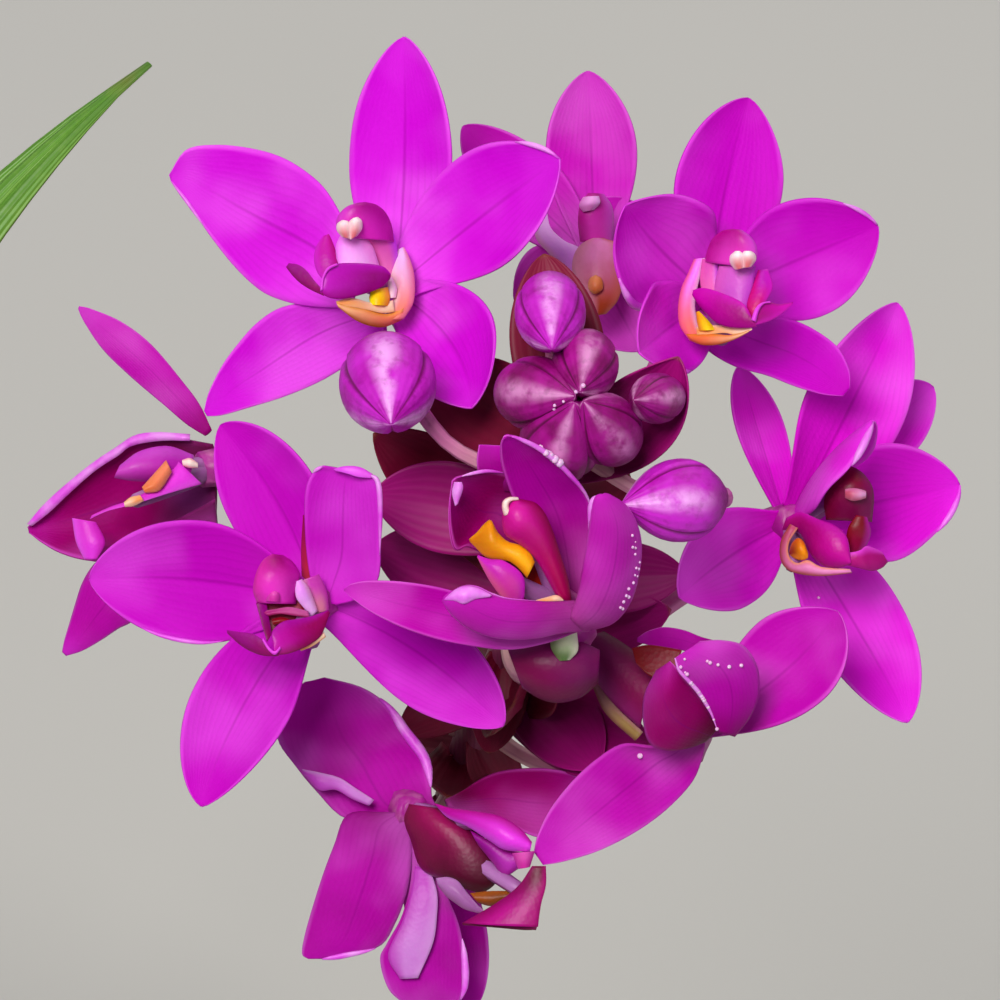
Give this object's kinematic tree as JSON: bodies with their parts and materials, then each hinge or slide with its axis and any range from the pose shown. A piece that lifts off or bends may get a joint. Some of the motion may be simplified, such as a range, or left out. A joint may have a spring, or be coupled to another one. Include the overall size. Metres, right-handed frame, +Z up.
{
  "type": "potted orchid",
  "caption": "Potted ground orchid: plain clay pot, pseudobulbs, long pleated leaves and a tall scape with a head of magenta blooms and buds.",
  "frame": {"origin": "centre of the pot's flat base, on the surface it stands on", "axes": "+Z up along the pot's axis; the flower head faces -Y and up"},
  "size_m": [0.4235, 0.399, 0.5135],
  "materials": {
    "clay": "matte",
    "bark": "matte",
    "bulb": "satin",
    "leaf": "satin",
    "scape": "satin",
    "petal": "satin",
    "bud": "satin",
    "callus": "satin",
    "cap": "satin"
  },
  "bodies": {
    "root": {"pot": "clay", "soil": "bark", "scape": "scape", "pseudobulb_1": "bulb", "pseudobulb_2": "bulb", "pseudobulb_3": "bulb", "pseudobulb_4": "bulb", "pseudobulb_5": "bulb", "leaf_1": "leaf", "leaf_2": "leaf", "leaf_3": "leaf", "leaf_4": "leaf", "leaf_5": "leaf", "leaf_6": "leaf", "leaf_7": "leaf", "leaf_8": "leaf", "leaf_9": "leaf", "bud_left": "bud", "bud_top": "bud", "bud_right": "bud", "bud_small": "bud", "bud_crown": "bud", "bloom_a": "petal", "callus_a": "callus", "anther_cap_a": "cap", "bloom_b": "petal", "callus_b": "callus", "anther_cap_b": "cap", "bloom_c": "petal", "callus_c": "callus", "anther_cap_c": "cap", "bloom_d": "petal", "callus_d": "callus", "anther_cap_d": "cap", "bloom_e": "petal", "callus_e": "callus", "anther_cap_e": "cap", "bloom_f": "petal", "callus_f": "callus", "anther_cap_f": "cap", "bloom_g": "petal", "callus_g": "callus", "anther_cap_g": "cap", "bloom_h": "petal", "callus_h": "callus", "anther_cap_h": "cap", "bloom_i": "petal", "callus_i": "callus", "anther_cap_i": "cap"}
  },
  "joints": []
}
